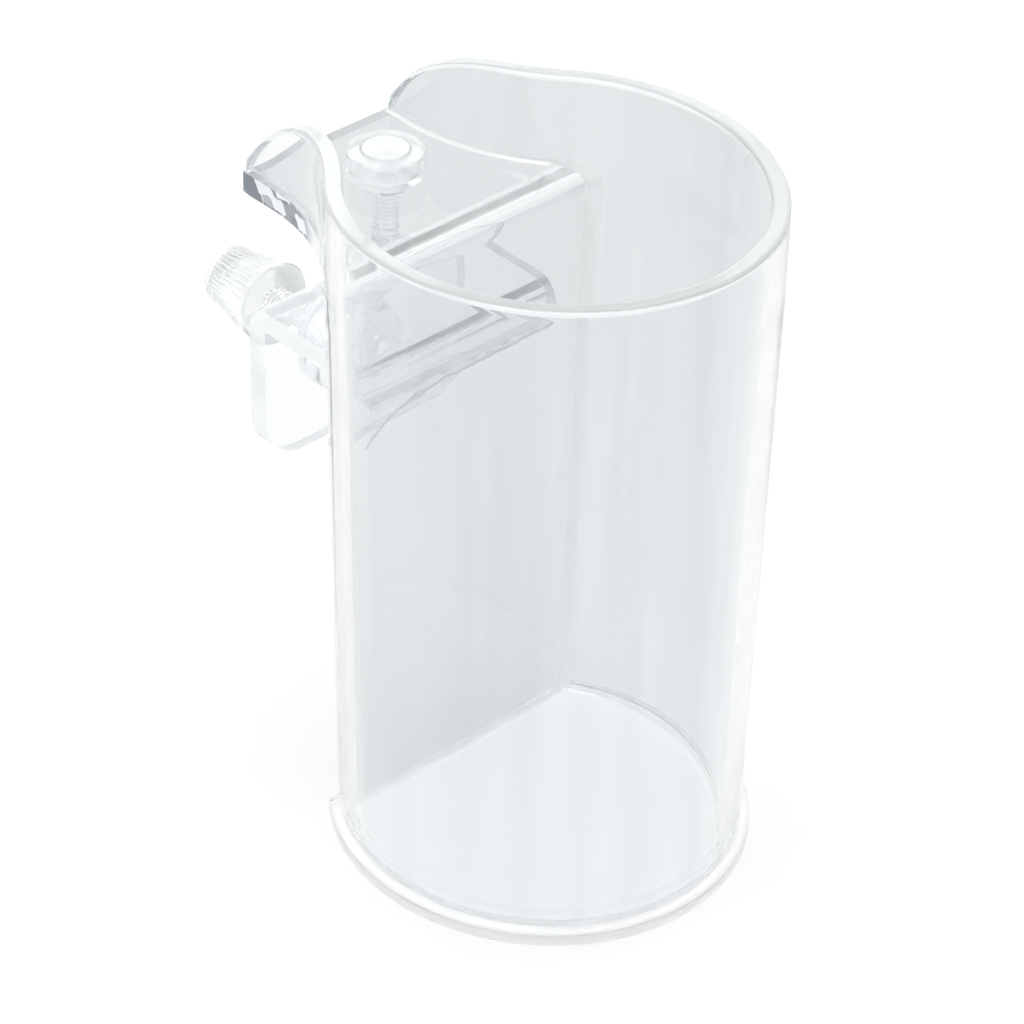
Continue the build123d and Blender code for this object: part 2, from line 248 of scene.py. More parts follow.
SHADOW_CLEAR = (0.985, 0.99, 0.99, 1.0)
SHEET_CLARITY = 0.965         # the rest is scattered by the haze and rub marks of used plastic
sheet_clear = acrylic("sheet_clear", (0.73, 0.745, 0.757, 1.0), 0.012, 0.00004, SHADOW_CLEAR,
                      SHEET_CLARITY)
WALL_NEAR = (0.925, 0.935, 0.94, 1.0)
# The far tint is painted shade: the wall's own tint darkens into it towards the far right.
WALL_FAR_SHADE = (0.75, 0.77, 0.78, 1.0)
wall_clear = acrylic("wall_clear", WALL_NEAR, 0.012, 0.00006, SHADOW_CLEAR, SHEET_CLARITY)
paint_wall_shade(wall_clear, WALL_NEAR, WALL_FAR_SHADE)
base_clear = acrylic("base_clear", (0.89, 0.885, 0.895, 1.0), 0.012, 0.00004, SHADOW_CLEAR,
                     SHEET_CLARITY)
bracket_clear = acrylic("bracket_clear", (0.97, 0.978, 0.982, 1.0), 0.02, 0.00004, SHADOW_CLEAR,
                        SHEET_CLARITY)
screw_clear = acrylic("screw_clear", (0.985, 0.99, 0.995, 1.0), 0.04, 0.00002, SHADOW_CLEAR, 0.9)
collar_clear = acrylic("collar_clear", (0.985, 0.99, 0.995, 1.0), 0.03, 0.00002, SHADOW_CLEAR, 0.74)
knob_clear = acrylic("knob_clear", (0.985, 0.99, 0.99, 1.0), 0.06, 0.00002, SHADOW_CLEAR, 0.7)
cement_clear = acrylic("cement_clear", (0.98, 0.985, 0.99, 1.0), 0.15, 0.0001, SHADOW_CLEAR, 0.45)
# Frosted acrylic for saw-cut and worked edges; on the polished rim this white frost is painted light,
# standing in for the rim's bright highlights.
edge_frost_rim_light = acrylic("edge_frost_rim_light", (0.95, 0.975, 0.98, 1.0), 0.08, 0.00004, SHADOW_CLEAR, 0.5)
# Paler, hazier acrylic: painted light on the back plate's bend, for its soft bright bands, and painted
# shade in the knob's grooves, where its tint is darker.
painted_bend_and_groove = acrylic("painted_bend_and_groove", (0.86, 0.88, 0.885, 1.0), 0.05, 0.00004, SHADOW_CLEAR, 0.74)
facet_clear = acrylic("facet_clear", (0.95, 0.97, 0.98, 1.0), 0.08, 0.00004, SHADOW_CLEAR, 0.35)
facet(facet_clear, (0.95, 0.97, 0.98, 1.0), (0.2, 0.225, 0.26, 1.0))
fused_joint = fused()


# ---------------------------------------------------------------- mesh helpers
def make_object(name, mesh_builder, material):
    """Object from a bmesh, with outward normals."""
    mesh = bpy.data.meshes.new(name)
    bmesh.ops.recalc_face_normals(mesh_builder, faces=mesh_builder.faces)
    mesh_builder.to_mesh(mesh)
    mesh_builder.free()
    made = bpy.data.objects.new(name, mesh)
    bpy.context.scene.collection.objects.link(made)
    mesh.materials.append(material)
    for extra in (fused_joint, edge_frost_rim_light, painted_bend_and_groove, facet_clear, cement_clear):
        mesh.materials.append(extra)
    return made


def smooth_by_angle(made, angle):
    """Smooth shading with creases at edges sharper than angle."""
    for face in made.data.polygons:
        face.use_smooth = True
    made.data.set_sharp_from_angle(angle=math.radians(angle))


def stitch(builder, lower, upper):
    """Quads between two rows of vertices of one length."""
    return [builder.faces.new((lower[k], lower[k + 1], upper[k + 1], upper[k]))
            for k in range(len(lower) - 1)]


FUSED, EDGE_FROST_AND_RIM_LIGHT, BEND_LIT_GROOVE_SHADED, FACETED, UNDERSIDE_FLOOR_LIGHT = 1, 2, 3, 4, 5     # slots after a piece's own material


def mark(faces, slot):
    """Gives faces another of their object's materials."""
    for face in faces:
        face.material_index = slot


def revolve(name, profile, centre, axis, steps, material, closed=False, reach=None):
    """Turned solid: profile is a chain of (radius, station); reach may vary radius with the angle."""
    builder = bmesh.new()
    rings = []
    for radius, station in profile:
        if radius < 1e-7:
            rings.append([builder.verts.new(on_axis(centre, axis, 0.0, 0.0, station))])
            continue
        ring = []
        for k in range(steps):
            angle = 2 * math.pi * k / steps
            r = radius if reach is None else reach(radius, station, angle)
            ring.append(builder.verts.new(on_axis(centre, axis, r, angle, station)))
        rings.append(ring)
    pairs = list(zip(rings, rings[1:]))
    if closed:
        pairs.append((rings[-1], rings[0]))
    for one, two in pairs:
        for k in range(steps):
            nxt = (k + 1) % steps
            if len(one) == 1:
                builder.faces.new((one[0], two[nxt], two[k]))
            elif len(two) == 1:
                builder.faces.new((one[k], one[nxt], two[0]))
            else:
                builder.faces.new((one[k], one[nxt], two[nxt], two[k]))
    return make_object(name, builder, material)


def on_axis(centre, axis, radius, angle, station):
    """Point at a radius and angle about an axis through centre, at a station along it."""
    along = station
    u = radius * math.cos(angle)
    v = radius * math.sin(angle)
    if axis == "Y":
        return Vector((centre[0] + u, along, centre[1] + v))
    return Vector((centre[0] + u, centre[1] + v, along))


# ---------------------------------------------------------------- outlines
def share_up(z):
    """0 at the wall's foot, 1 from the flange up: how far the wall has opened out."""
    return max(0.0, min(1.0, (z - BASE_TOP) / (FLANGE_TOP - BASE_TOP)))


def semi_axes(z, inset):
    """Half width and half depth of the bowl at a height."""
    grow = FOOT_RATIO + (1 - FOOT_RATIO) * share_up(z)
    return BOWL_A * grow - inset, BOWL_B * grow - inset


def wing_numbers(inset):
    """The wing's reversed arc: depth where it starts, its radius, depth where its straight begins."""
    a, b, half = BOWL_A - inset, BOWL_B - inset, FLANGE_HALF - inset
    x_neck, y_neck = a * math.cos(NECK), b * math.sin(NECK)
    lean = math.atan2(a * math.sin(NECK), b * math.cos(NECK))
    radius = (x_neck - half) / (1 - math.cos(lean))
    return y_neck, radius, y_neck + radius * math.sin(lean)


def half_width_wing(y, inset):
    """Half width of the outline at a depth y, from the bowl's widest place back."""
    y_neck, radius, y_straight = wing_numbers(inset)
    if y <= y_neck:
        a, b = BOWL_A - inset, BOWL_B - inset
        return a * math.sqrt(max(0.0, 1 - (y / b) ** 2))
    if y >= y_straight:
        return FLANGE_HALF - inset
    rise = (y_straight - y) / radius
    return FLANGE_HALF - inset + radius * (1 - math.sqrt(1 - rise * rise))


def half_width_bowl(y, z, inset=0.0):
    """Half width of the tapered bowl at a depth and height."""
    a, b = semi_axes(z, inset)
    return a * math.sqrt(max(0.0, 1 - (y / b) ** 2))


def rim_height(y):
    """Height of the rim: level over the bowl, rounded down over the wings."""
    if y <= WING_START:
        return RIM
    run = min(y - WING_START, WING_RADIUS)
    return RIM - (WING_RADIUS - math.sqrt(WING_RADIUS ** 2 - run ** 2))


# ---------------------------------------------------------------- curved wall
def spread(start, end, count):
    """Evenly spaced numbers from start to end."""
    return [start + (end - start) * k / (count - 1) for k in range(count)]


BOWL_STEPS = 90               # columns of the wall from its front middle to the back plate
WALL_ROWS = 36                # rows of the wall below the bend
COLLAR_ROWS = 13              # rows of the wall above it
BEND_STEPS = 14               # columns round the bend, and rows of the back plate there
WING_STEPS = 36
butt = PLATE_FRONT - SKIN_GAP
foot = BASE_TOP + SKIN_GAP
bend_end = PLATE_FRONT + BEND_OUTER


def wall_underside(y):
    """Lowest point of the wall behind the plate's front: it follows the bend, then the flange."""
    if y >= bend_end:
        return FLANGE_TOP + SKIN_GAP
    reach = BEND_OUTER + SKIN_GAP
    return BEND_START + math.sqrt(max(0.0, reach ** 2 - (bend_end - y) ** 2))


def bowl_point(share, z, inset):
    """Point of the bowl, from its front middle (0) to the plate (1)."""
    a, b = semi_axes(z, inset)
    end = math.asin(butt / b)
    turn = -math.pi / 2 + share * (end + math.pi / 2)
    return a * math.cos(turn), b * math.sin(turn)


def wing_point(y, z, inset):
    """Point of the wing at a depth, drawn in with the taper where it starts."""
    a, b = semi_axes(z, inset)
    full = half_width_wing(butt, inset)
    here = a * math.sqrt(1 - (butt / b) ** 2)
    return half_width_wing(y, inset) * here / full, y


def wall_columns():
    """Columns from the left wing round the front to the right wing: (side, kind, value)."""
    right = [(1, "bowl", k / BOWL_STEPS) for k in range(1, BOWL_STEPS + 1)]
    reach = BEND_OUTER + SKIN_GAP
    turns = spread(0, math.pi / 2, BEND_STEPS)[1:]
    right += [(1, "wing", bend_end - reach * math.cos(turn)) for turn in turns]
    right += [(1, "wing", y) for y in spread(bend_end, FLANGE_REAR, WING_STEPS)[1:]]
    left = [(-1, kind, value) for _, kind, value in reversed(right)]
    return left + [(1, "bowl", 0.0)] + right


def wall_sheet(builder, inset):
    """One face of the wall as a grid; returns its vertices by column and row."""
    grid = []
    for side, kind, value in wall_columns():
        column = {}
        if kind == "bowl":
            for row in range(WALL_ROWS):
                z = foot + (BEND_START - foot) * row / WALL_ROWS
                x, y = bowl_point(value, z, inset)
                column[row] = builder.verts.new((side * x, y, z))
            low = BEND_START
        else:
            low = wall_underside(value)
        depth = value if kind == "wing" else 0.0
        top = rim_height(depth)
        for row in range(COLLAR_ROWS + 1):
            z = low + (top - low) * row / COLLAR_ROWS
            x, y = bowl_point(value, z, inset) if kind == "bowl" else wing_point(value, z, inset)
            column[WALL_ROWS + row] = builder.verts.new((side * x, y, z))
        grid.append(column)
    for one, two in zip(grid, grid[1:]):
        for row in one:
            if row in two and row + 1 in one and row + 1 in two:
                builder.faces.new((one[row], two[row], two[row + 1], one[row + 1]))
    return grid


def close_sheets(builder, outer, inner):
    """Strip of faces round the open border between two sheets of one topology."""
    partner = {}
    for one, two in zip(outer, inner):
        for row in one:
            partner[one[row]] = two[row]
    border = [e for e in builder.edges if len(e.link_faces) == 1 and e.verts[0] in partner]
    for edge in border:
        p, q = edge.verts
        builder.faces.new((p, q, partner[q], partner[p]))


def round_edges(builder, chosen, width, segments):
    """Rounds the chosen edges."""
    edges = [e for e in builder.edges if chosen(e)]
    bmesh.ops.bevel(builder, geom=edges, offset=width, segments=segments, profile=0.5,
                    affect="EDGES", clamp_overlap=False)


def edge_turn(edge):
    """Angle between the two faces at an edge."""
    return edge.calc_face_angle(0.0) if len(edge.link_faces) == 2 else 0.0


def is_rim_edge(edge):
    """True on the sharp edges of the rim and of the wings' rear ends."""
    if edge_turn(edge) < math.radians(40):
        return False
    for vert in edge.verts:
        z, y = vert.co.z, vert.co.y
        on_rim = abs(z - rim_height(y)) < TOLERANCE
        on_end = abs(y - FLANGE_REAR) < TOLERANCE and z > FLANGE_TOP
        if not (on_rim or on_end):
            return False
    return True


def crisp(made, angle=35.0):
    """Smooth shading that keeps true corners, with flat faces kept flat."""
    smooth_by_angle(made, angle)
    weigh = made.modifiers.new("normals", "WEIGHTED_NORMAL")
    weigh.keep_sharp = True
    bake(made)


def bake(made):
    """Applies the modifiers of an object."""
    bpy.context.view_layer.update()
    graph = bpy.context.evaluated_depsgraph_get()
    baked = bpy.data.meshes.new_from_object(made.evaluated_get(graph))
    made.modifiers.clear()
    old = made.data
    made.data = baked
    bpy.data.meshes.remove(old)


RIM_ROUND = 1.1 * MM


def is_wall_joint(face):
    """True where the wall stands on the base plate, meets the back plate or stands on the flange."""
    places = [vert.co for vert in face.verts]
    on_base = all(p.z < foot + TOLERANCE for p in places)
    on_plate = all(p.y > butt - TOLERANCE and p.z < wall_underside(p.y) + TOLERANCE for p in places)
    return on_base or on_plate


def is_rim_face(face):
    """True on the rounded rim and on the rear ends of the wings."""
    places = [vert.co for vert in face.verts]
    reach = 1.05 * RIM_ROUND

    def near_rim(p):
        back, rise = max(0.0, p.y - WING_START), p.z - (RIM - WING_RADIUS)
        return rise > 0 and math.hypot(back, rise) > WING_RADIUS - reach

    return all(near_rim(p) for p in places) or all(p.y > FLANGE_REAR - reach for p in places)


def make_wall():
    """Curved wall with its side wings, and a polished round rim."""
    builder = bmesh.new()
    outer = wall_sheet(builder, 0.0)
    inner = wall_sheet(builder, WALL)
    close_sheets(builder, outer, inner)
    mark([face for face in builder.faces if is_wall_joint(face)], FUSED)
    bmesh.ops.recalc_face_normals(builder, faces=builder.faces)
    round_edges(builder, is_rim_edge, RIM_ROUND, 4)
    # The polished rim gets the frosted edge material: a painted highlight.
    mark([face for face in builder.faces if is_rim_face(face)], EDGE_FROST_AND_RIM_LIGHT)
    made = make_object("wall_shell", builder, wall_clear)
    crisp(made)
    return made


wall = make_wall()
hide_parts("cup_wall")
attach(wall, "root")


# ---------------------------------------------------------------- bent sheets
def sheet_from_path(upper, lower, across):
    """Closed solid between two chains of (y, z): its mesh, the outer strips of its upper face,
    the faces of its first end and those of its other edges."""
    builder = bmesh.new()
    rows = []
    strips = []
    for chain in (upper, lower):
        grid = [[builder.verts.new((x, y, z)) for x in across(y, z)] for y, z in chain]
        for one, two in zip(grid, grid[1:]):
            made = stitch(builder, one, two)
            strips += [made[0], made[-1]] if chain is upper else []
        rows.append(grid)
    over, under = rows
    end = stitch(builder, over[0], under[0])
    edges = stitch(builder, over[-1], under[-1])
    for side in (0, -1):
        edges += stitch(builder, [row[side] for row in over], [row[side] for row in under])
    return builder, strips, end, edges


def arc(centre, radius, start, end, count):
    """Points (y, z) on an arc, angles in degrees from +Y towards +Z."""
    turns = [math.radians(t) for t in spread(start, end, count)]
    return [(centre[0] + radius * math.cos(t), centre[1] + radius * math.sin(t)) for t in turns]


def run(start, end, count):
    """Points (y, z) along a straight, without its ends."""
    ys = spread(start[0], end[0], count + 2)[1:-1]
    zs = spread(start[1], end[1], count + 2)[1:-1]
    return list(zip(ys, zs))


def drill(made, centre, axis, radius, length):
    """Cuts a round hole through a solid."""
    builder = bmesh.new()
    bmesh.ops.create_cone(builder, cap_ends=True, segments=64, radius1=radius, radius2=radius,
                          depth=length)
    if axis == "Y":
        bmesh.ops.rotate(builder, verts=builder.verts, matrix=Matrix.Rotation(math.pi / 2, 3, "X"))
    bmesh.ops.translate(builder, verts=builder.verts, vec=centre)
    cutter = make_object("cutter", builder, sheet_clear)
    cut = made.modifiers.new("hole", "BOOLEAN")
    cut.operation = "DIFFERENCE"
    cut.solver = "EXACT"
    cut.object = cutter
    bake(made)
    bpy.data.objects.remove(cutter)


PLATE_POLISH = 0.45 * MM
PLATE_COLUMNS = 23            # columns of the back plate between the wall's two feet


def is_bend(face):
    """True on both faces of the bend, whose paler, hazier material is painted light for the soft bright
    bands along it.
    """
    middle = face.calc_center_median()
    turned = math.atan2(middle.z - BEND_START, bend_end - middle.y)
    return middle.y < bend_end and math.radians(25) < turned < math.radians(85)


def make_back_plate():
    """Back plate, bent back into the flange, with the hole of the vertical screw."""
    inner = BEND_OUTER - SHEET
    centre = (bend_end, BEND_START)
    front = [(PLATE_FRONT, foot)] + run((PLATE_FRONT, foot), (PLATE_FRONT, BEND_START), 40)
    front += arc(centre, BEND_OUTER, 180, 90, BEND_STEPS)
    front += run((bend_end, FLANGE_TOP), (FLANGE_REAR, FLANGE_TOP), 30) + [(FLANGE_REAR, FLANGE_TOP)]
    low = FLANGE_TOP - SHEET
    rear = [(PLATE_REAR, foot)] + run((PLATE_REAR, foot), (PLATE_REAR, BEND_START), 40)
    rear += arc(centre, inner, 180, 90, BEND_STEPS)
    rear += run((bend_end, low), (FLANGE_REAR, low), 30) + [(FLANGE_REAR, low)]

    def across(y, z):
        if z < BEND_START and y < bend_end:
            half, clear = half_width_bowl(y, z), half_width_bowl(y, z, WALL)
        else:
            half, clear = half_width_wing(y, 0.0), half_width_wing(y, WALL)
        return [-half] + spread(-clear, clear, PLATE_COLUMNS) + [half]

    builder, strips, end, edges = sheet_from_path(front, rear, across)
    mark(strips + end, FUSED)
    mark([face for face in edges if face.calc_center_median().z > BEND_START], EDGE_FROST_AND_RIM_LIGHT)
    middles = [(face, face.calc_center_median()) for face in edges]
    mark([face for face, middle in middles
          if middle.x < -0.99 * FLANGE_HALF and middle.z > FLANGE_TOP - SHEET], FACETED)
    # Faces of the bend get the paler, hazier material: painted light.
    mark([face for face in builder.faces if is_bend(face) and face not in strips], BEND_LIT_GROOVE_SHADED)
    made = make_object("back_sheet", builder, sheet_clear)
    drill(made, (0, TOP_Y, FLANGE_TOP), "Z", (screw_hi.x - screw_lo.x) / 2, 3 * SHEET)
    return made


back = make_back_plate()
crisp(back)
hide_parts("back_plate")
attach(back, "root")


# ---------------------------------------------------------------- base plate
def make_base_plate():
    """Flat base plate: the wall's outline with a small lip, cut straight at the back."""
    rear = base_hi.y
    wall_a, wall_b = semi_axes(BASE_TOP, 0.0)
    clear_a, clear_b = semi_axes(BASE_TOP, WALL)
    builder = bmesh.new()

    def around(a, b, end_y, z):
        end = math.asin(end_y / b)
        turns = spread(-math.pi - end, end, 181)
        return [builder.verts.new((a * math.cos(t), b * math.sin(t), z)) for t in turns]

    rims = [around(base_hi.x, -base_lo.y, rear, z) for z in (base_lo.z, base_hi.z)]
    outer = around(wall_a, wall_b, PLATE_FRONT, base_hi.z)
    inner = around(clear_a, clear_b, PLATE_FRONT, base_hi.z)
    half = half_width_bowl(rear, BASE_TOP)
    plate_end = [[builder.verts.new((x, rear, z)) for x in spread(half, -half, 26)]
                 for z in (base_lo.z, base_hi.z)]
    low, high = [rim + end for rim, end in zip(rims, plate_end)]
    builder.faces.new(low)
    stitch(builder, low + low[:1], high + high[:1])
    stitch(builder, rims[1], outer)
    builder.faces.new((rims[1][-1], plate_end[1][0], outer[-1]))
    builder.faces.new((rims[1][0], plate_end[1][-1], outer[0]))
    builder.faces.new(inner)
    mark(stitch(builder, outer, inner), FUSED)
    mark([builder.faces.new(plate_end[1] + [outer[0], inner[0], inner[-1], outer[-1]])], FUSED)
    bmesh.ops.recalc_face_normals(builder, faces=builder.faces)
    round_edges(builder, lambda e: edge_turn(e) > math.radians(60), PLATE_POLISH, 3)
    # The base's underside gets the hazy cement material: painted light, standing in for the bright
    # floor under it.
    mark([face for face in builder.faces if face.normal.z < -0.95], UNDERSIDE_FLOOR_LIGHT)
    return make_object("base_disc", builder, base_clear)


base = make_base_plate()
crisp(base)
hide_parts("base_plate")
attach(base, "root")


# ---------------------------------------------------------------- clamp bracket
BRACKET_BEND = 5.6 * MM
LEG_CORNER = 10.0 * MM
FLAP_CORNER = 2.0 * MM


def make_bracket():
    """Bent sheet: flap against the back plate, level shelf, leg that hangs behind the wall."""
    outer, inner = BRACKET_BEND, BRACKET_BEND - SHEET
    near = bracket_lo.y + SKIN_GAP
    flap_y = bracket_lo.y + SHEET
    far = bracket_hi.y
    leg_y = far - SHEET
    top = bracket_hi.z
    flap_z = bracket_hi.z - FLAP_DEPTH
    leg_z = bracket_lo.z
    bend_z = top - outer
    one, two = (bracket_lo.y + outer, bend_z), (far - outer, bend_z)
    flap_zs = [flap_z + k * FLAP_CORNER / 4 for k in range(5)]
    leg_zs = [leg_z + LEG_CORNER * (1 - math.cos(math.pi / 2 * k / 11)) for k in range(12)]
    over = [(near, z) for z in flap_zs] + arc(one, outer - SKIN_GAP, 180, 90, 9)
    over += run((one[0], top), (two[0], top), 12) + arc(two, outer, 90, 0, 9)
    over += run((far, bend_z), (far, leg_zs[-1]), 12) + [(far, z) for z in reversed(leg_zs)]
    low = top - SHEET
    under = [(flap_y, z) for z in flap_zs] + arc(one, inner, 180, 90, 9)
    under += run((one[0], low), (two[0], low), 12) + arc(two, inner, 90, 0, 9)
    under += run((leg_y, bend_z), (leg_y, leg_zs[-1]), 12) + [(leg_y, z) for z in reversed(leg_zs)]

    def half_at(y, z):
        half = bracket_hi.x
        if y > flap_y + inner + outer and z < leg_zs[-1]:
            drop = leg_zs[-1] - z
            return half - LEG_CORNER + math.sqrt(max(0.0, LEG_CORNER ** 2 - drop ** 2))
        if y < flap_y + 0.1 * MM and z < flap_zs[-1]:
            drop = flap_zs[-1] - z
            return half - FLAP_CORNER + math.sqrt(max(0.0, FLAP_CORNER ** 2 - drop ** 2))
        return half

    builder, _, end, edges = sheet_from_path(
        over, under, lambda y, z: spread(-half_at(y, z), half_at(y, z), 23))
    mark(end + edges, EDGE_FROST_AND_RIM_LIGHT)
    made = make_object("bracket_sheet", builder, bracket_clear)
    drill(made, (0, leg_y, CLAMP_Z), "Y", (stud_hi.x - stud_lo.x) / 2 + RUNNING_GAP, 3 * SHEET)
    return made


bracket = make_bracket()
crisp(bracket)
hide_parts("clamp_bracket")
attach(bracket, "root")


# ---------------------------------------------------------------- screws, knob and collar
STUD_R = (stud_hi.x - stud_lo.x) / 2
KNOB_R = (knob_hi.x - knob_lo.x) / 2
KNOB_REAR_R = 7.1 * MM
TOP_STUD_R = 3.0 * MM
HEAD_R = (screw_hi.x - screw_lo.x) / 2
CLAMP_PITCH = 1.25 * MM
TOP_PITCH = 1.0 * MM
CLAMP_THREAD = 0.55 * MM      # depth of each thread
TOP_THREAD = 0.35 * MM
TIP_CHAMFER = 0.8 * MM
FLUTES = 40
FLUTE_DEPTH = 0.75 * MM
KNOB_BAND = 1.6 * MM          # plain band at each end of the knurling
FLUTE_FADE = 0.6 * MM
SOCKET_FLOOR = 4.0 * MM
clamp_centre = (0.0, CLAMP_Z)
top_centre = (0.0, TOP_Y)


def rounded(points, radius, count=4):
    """Chain of (radius, station) with its corners rounded; points are (r, s, round?)."""
    chain = []
    for k, (r, s, soft) in enumerate(points):
        if not soft:
            chain.append((r, s))
            continue
        corner = Vector((r, s))
        before = Vector(points[k - 1][:2])
        after = Vector(points[(k + 1) % len(points)][:2])
        lead = (before - corner).normalized() * radius
        trail = (after - corner).normalized() * radius
        for step in range(count + 1):
            t = step / count
            p = (corner + lead) * (1 - t) ** 2 + corner * 2 * t * (1 - t) + (corner + trail) * t ** 2
            chain.append((p.x, p.y))
    return chain


def make_boss():
    """Round boss behind the leg."""
    hole = STUD_R + RUNNING_GAP
    outer = (boss_hi.x - boss_lo.x) / 2
    near, far = boss_lo.y + SKIN_GAP, boss_hi.y
    chain = rounded([(hole, near, False), (outer, near, False), (outer, far, True), (hole, far, True)],
                    0.8 * MM)
    return revolve("boss_ring", chain, clamp_centre, "Y", 72, screw_clear, closed=True)


def thread_reach(pitch, depth, start, end):
    """Radius of a right-hand thread at a station and angle; it fades out at both ends."""
    def reach(radius, station, angle):
        phase = (station / pitch + angle / (2 * math.pi)) % 1.0
        groove = 0.5 - 0.5 * math.cos(2 * math.pi * phase)
        fade = max(0.0, min(1.0, (station - start) / pitch, (end - station) / pitch))
        return radius - depth * fade * groove ** 0.8
    return reach


def threaded_profile(radius, tip, end, chamfer, pitch):
    """Chain of a threaded shank from its centre at the tip to its end."""
    chain = [(0.0, tip), (radius - chamfer, tip), (radius, tip + chamfer)]
    steps = int((end - tip - chamfer) / (pitch / 8))
    chain += [(radius, tip + chamfer + (end - tip - chamfer) * k / steps) for k in range(1, steps + 1)]
    return chain


def make_stud():
    """Threaded shank of the horizontal screw."""
    tip, end = stud_lo.y, stud_hi.y
    chain = threaded_profile(STUD_R, tip, end, TIP_CHAMFER, CLAMP_PITCH) + [(0.0, end)]
    reach = thread_reach(CLAMP_PITCH, CLAMP_THREAD, tip + TIP_CHAMFER, end)

    def shaped(radius, station, angle):
        return reach(radius, station, angle) if radius > STUD_R * 0.99 else radius

    made = revolve("stud_thread", chain, clamp_centre, "Y", 48, screw_clear, reach=shaped)
    for face in made.data.polygons:
        if face.center.y > knob_lo.y and face.center.y < end - TOLERANCE:
            face.material_index = FUSED
    return made


def make_knob():
    """Tapered knob, finely knurled between two plain bands, with the socket of its screw."""
    front, rear = knob_lo.y, knob_hi.y
    hole = STUD_R + RUNNING_GAP
    floor = rear - SOCKET_FLOOR
    chain = [(0.0, floor), (hole, floor), (hole, front), (KNOB_R - 0.5 * MM, front)]
    chain += [(KNOB_R, front + 0.5 * MM)]
    steps = 14
    for k in range(steps + 1):
        t = k / steps
        station = front + KNOB_BAND + (rear - front - 2 * KNOB_BAND) * t
        chain.append((KNOB_R + (KNOB_REAR_R - KNOB_R) * t, station))
    chain += [(KNOB_REAR_R, rear - 1.0 * MM), (KNOB_REAR_R - 0.3 * MM, rear - 0.3 * MM)]
    chain += [(KNOB_REAR_R - 1.0 * MM, rear), (KNOB_REAR_R - 2.4 * MM, rear)]
    chain += [(KNOB_REAR_R - 2.8 * MM, rear - 0.35 * MM)]
    chain += [(0.0, rear - 0.35 * MM)]
    low, high = front + KNOB_BAND, rear - KNOB_BAND

    def shaped(radius, station, angle):
        if radius < KNOB_REAR_R * 0.99 or station < low - 0.1 * MM or station > high + 0.1 * MM:
            return radius
        fade = max(0.0, min(1.0, (station - low) / FLUTE_FADE, (high - station) / FLUTE_FADE))
        wave = 0.5 - 0.5 * math.cos(FLUTES * angle)
        return radius - FLUTE_DEPTH * fade * wave ** 1.5

    made = revolve("knob_grip", chain, clamp_centre, "Y", FLUTES * 8, knob_clear, reach=shaped)
    # Faces at the socket's floor are fused; faces in the knurl's grooves get a darker tint, painted
    # shade in the grooves.
    for face in made.data.polygons:
        off_axis = math.hypot(face.center.x, face.center.z - CLAMP_Z)
        turn = math.atan2(face.center.z - CLAMP_Z, face.center.x)
        in_groove = math.cos(FLUTES * turn) < -0.1 and low < face.center.y < high
        if off_axis < 1.01 * hole and face.center.y < floor + 0.1 * MM and abs(face.normal.y) < 0.5:
            face.material_index = FUSED
        elif off_axis > 0.8 * KNOB_REAR_R and in_groove:
            face.material_index = BEND_LIT_GROOVE_SHADED
    return made


def make_collar():
    """Collar of the vertical screw: a ring with a recess for the screw's head."""
    outer = (collar_hi.x - collar_lo.x) / 2
    low, high = collar_lo.z, collar_hi.z
    hole, room = TOP_STUD_R + RUNNING_GAP, HEAD_R + RUNNING_GAP
    floor = low + 1.0 * MM
    chain = [(hole, floor), (hole, low)]
    chain += rounded([(hole, low, False), (outer, low, True), (outer, high, True), (room, high, True),
                      (room, floor, False)], 0.7 * MM)[1:]
    return revolve("collar_ring", chain, top_centre, "Z", 96, collar_clear, closed=True)


def make_top_screw():
    """Vertical screw: round head and threaded shank."""
    tip, head_low, head_high = screw_lo.z, collar_lo.z + 1.2 * MM, screw_hi.z
    chain = threaded_profile(TOP_STUD_R, tip, head_low, TIP_CHAMFER, TOP_PITCH)
    chain += [(HEAD_R, head_low), (HEAD_R, head_high - 0.6 * MM)]
    chain += [(HEAD_R - 0.2 * MM, head_high - 0.15 * MM)]
    chain += [(HEAD_R - 0.7 * MM, head_high), (0.0, head_high)]
    reach = thread_reach(TOP_PITCH, TOP_THREAD, tip + TIP_CHAMFER, head_low)

    def shaped(radius, station, angle):
        threaded = abs(radius - TOP_STUD_R) < TOLERANCE and station < head_low - TOLERANCE
        return reach(radius, station, angle) if threaded else radius

    made = revolve("screw_thread", chain, top_centre, "Z", 48, screw_clear, reach=shaped)
    for face in made.data.polygons:
        if face.center.z > head_low + 0.1 * MM:
            face.material_index = EDGE_FROST_AND_RIM_LIGHT
    return made


for maker, node, body, slot in (
        (make_boss, "screw_boss", "root", "clear_sheet"),
        (make_stud, "thumb_stud", "clamp_shank", "clear_screw"),
        (make_knob, "thumb_knob", "clamp_knob", "clear_screw"),
        (make_collar, "top_collar", "top_turner", "clear_screw"),
        (make_top_screw, "top_screw", "top_shank", "clear_screw")):
    piece = maker()
    smooth_by_angle(piece, 38)
    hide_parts(node)
    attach(piece, body)


# ---------------------------------------------------------------- cement
def wobble(point, scale):
    """Repeatable unevenness between -1 and 1."""
    return noise.noise(Vector(point) * scale)


